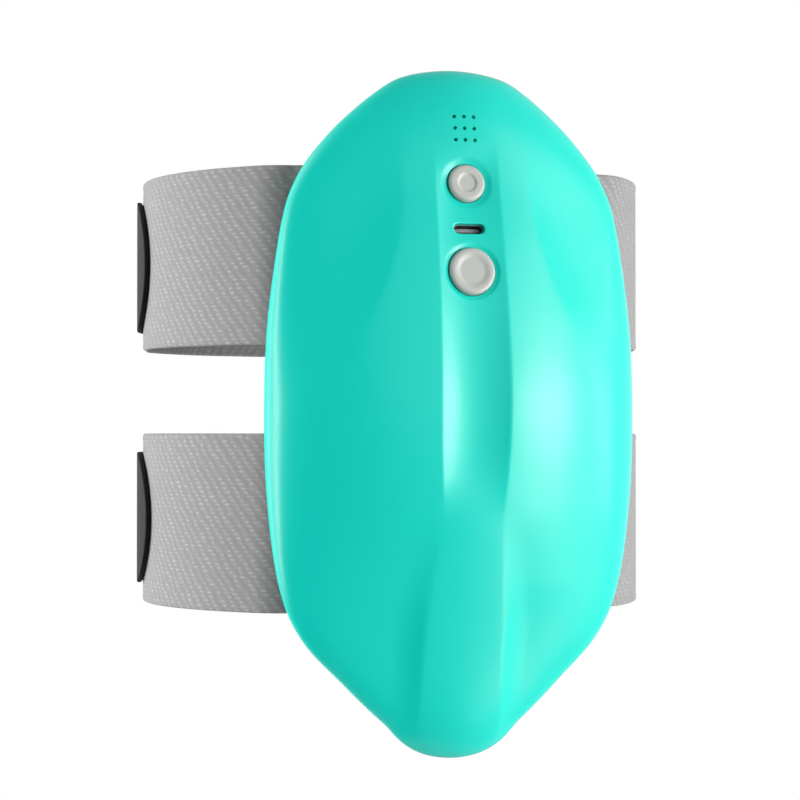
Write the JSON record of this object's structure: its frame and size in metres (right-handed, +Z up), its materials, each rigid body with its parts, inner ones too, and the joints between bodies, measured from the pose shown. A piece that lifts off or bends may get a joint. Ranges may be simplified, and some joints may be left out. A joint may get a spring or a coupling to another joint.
{
  "type": "calf massager",
  "caption": "Calf massager: a smooth leaf-shaped housing with round buttons and a charging mouth, worn on the front of the lower leg by elastic straps that close with hook tabs.",
  "frame": {"origin": "on the axis of the leg inside the strap loops, at the middle of the housing's height", "axes": "+Z up the leg, -Y out of the front of the housing, +X to the viewer's right when facing the front"},
  "size_m": [0.1526, 0.159, 0.196],
  "materials": {
    "turquoise_abs": "glossy moulded ABS, turquoise",
    "grey_abs": "finely textured moulded ABS, light warm grey",
    "button_abs": "satin moulded ABS, warm grey",
    "silicone": "soft matte silicone, grey",
    "polyimide_film": "amber heater film",
    "aluminium_sheet": "plain rolled sheet",
    "steel": "plated steel",
    "circuit_board": "solder-masked glass laminate, green",
    "black_plastic": "black moulded plastic",
    "foam": "closed-cell foam",
    "battery_wrap": "sleeved pouch cell",
    "brass_weight": "sintered heavy metal",
    "wire": "insulated wire",
    "elastic_webbing": "knitted elastic webbing, light grey",
    "hook_tape": "black hook tape"
  },
  "bodies": {
    "housing": {"front_shell": "turquoise_abs", "rear_cover": "grey_abs", "upper_left_housing_screw": "steel", "upper_right_housing_screw": "steel", "lower_left_housing_screw": "steel", "lower_right_housing_screw": "steel", "contact_pad": "silicone", "heat_spreader": "aluminium_sheet", "heater_film": "polyimide_film", "main_board": "circuit_board", "controller_chip": "black_plastic", "usb_c_socket": "steel", "usb_c_tongue": "black_plastic", "power_switch": "black_plastic", "mode_switch": "black_plastic", "board_screw_left": "steel", "board_screw_right": "steel", "speaker_gasket": "foam", "speaker": "black_plastic", "battery_foam": "foam", "battery": "battery_wrap", "upper_motor": "steel", "upper_motor_clamp": "black_plastic", "lower_motor": "steel", "lower_motor_clamp": "black_plastic", "heater_lead": "wire", "battery_lead": "wire", "upper_motor_lead": "wire", "lower_motor_lead": "wire", "speaker_lead": "wire", "upper_strap_bar_left": "steel", "upper_strap_bar_right": "steel", "lower_strap_bar_left": "steel", "lower_strap_bar_right": "steel", "upper_strap_left": "elastic_webbing", "upper_strap_right": "elastic_webbing", "lower_strap_left": "elastic_webbing", "lower_strap_right": "elastic_webbing"},
    "power_key": {"power_button": "button_abs", "power_switch_plunger": "button_abs"},
    "mode_key": {"mode_button": "button_abs", "mode_switch_plunger": "button_abs"},
    "upper_rotor": {"upper_motor_shaft": "steel", "upper_eccentric_weight": "brass_weight"},
    "lower_rotor": {"lower_motor_shaft": "steel", "lower_eccentric_weight": "brass_weight"},
    "upper_tail": {"upper_strap_tail": "elastic_webbing", "upper_hook_tab": "hook_tape"},
    "lower_tail": {"lower_strap_tail": "elastic_webbing", "lower_hook_tab": "hook_tape"}
  },
  "joints": [
    {"name": "power_press", "type": "slide", "parent": "housing", "child": "power_key", "axis": [0, 0.9809, -0.1945], "range_m": [0, 0.0008], "stiffness_N_per_m": 1500},
    {"name": "mode_press", "type": "slide", "parent": "housing", "child": "mode_key", "axis": [0, 0.9809, -0.1945], "range_m": [0, 0.0008], "stiffness_N_per_m": 1500},
    {"name": "upper_motor_spin", "type": "hinge", "parent": "housing", "child": "upper_rotor", "pos_m": [0.018, -0.0665, 0.022], "axis": [1, 0, 0], "continuous": true},
    {"name": "lower_motor_spin", "type": "hinge", "parent": "housing", "child": "lower_rotor", "pos_m": [0.018, -0.0665, -0.044], "axis": [1, 0, 0], "continuous": true},
    {"name": "upper_strap_open", "type": "hinge", "parent": "housing", "child": "upper_tail", "pos_m": [0, 0.0754, 0.045], "axis": [0, 0, -1], "range_deg": [0, 90]},
    {"name": "lower_strap_open", "type": "hinge", "parent": "housing", "child": "lower_tail", "pos_m": [0, 0.0754, -0.031], "axis": [0, 0, -1], "range_deg": [0, 90]}
  ]
}
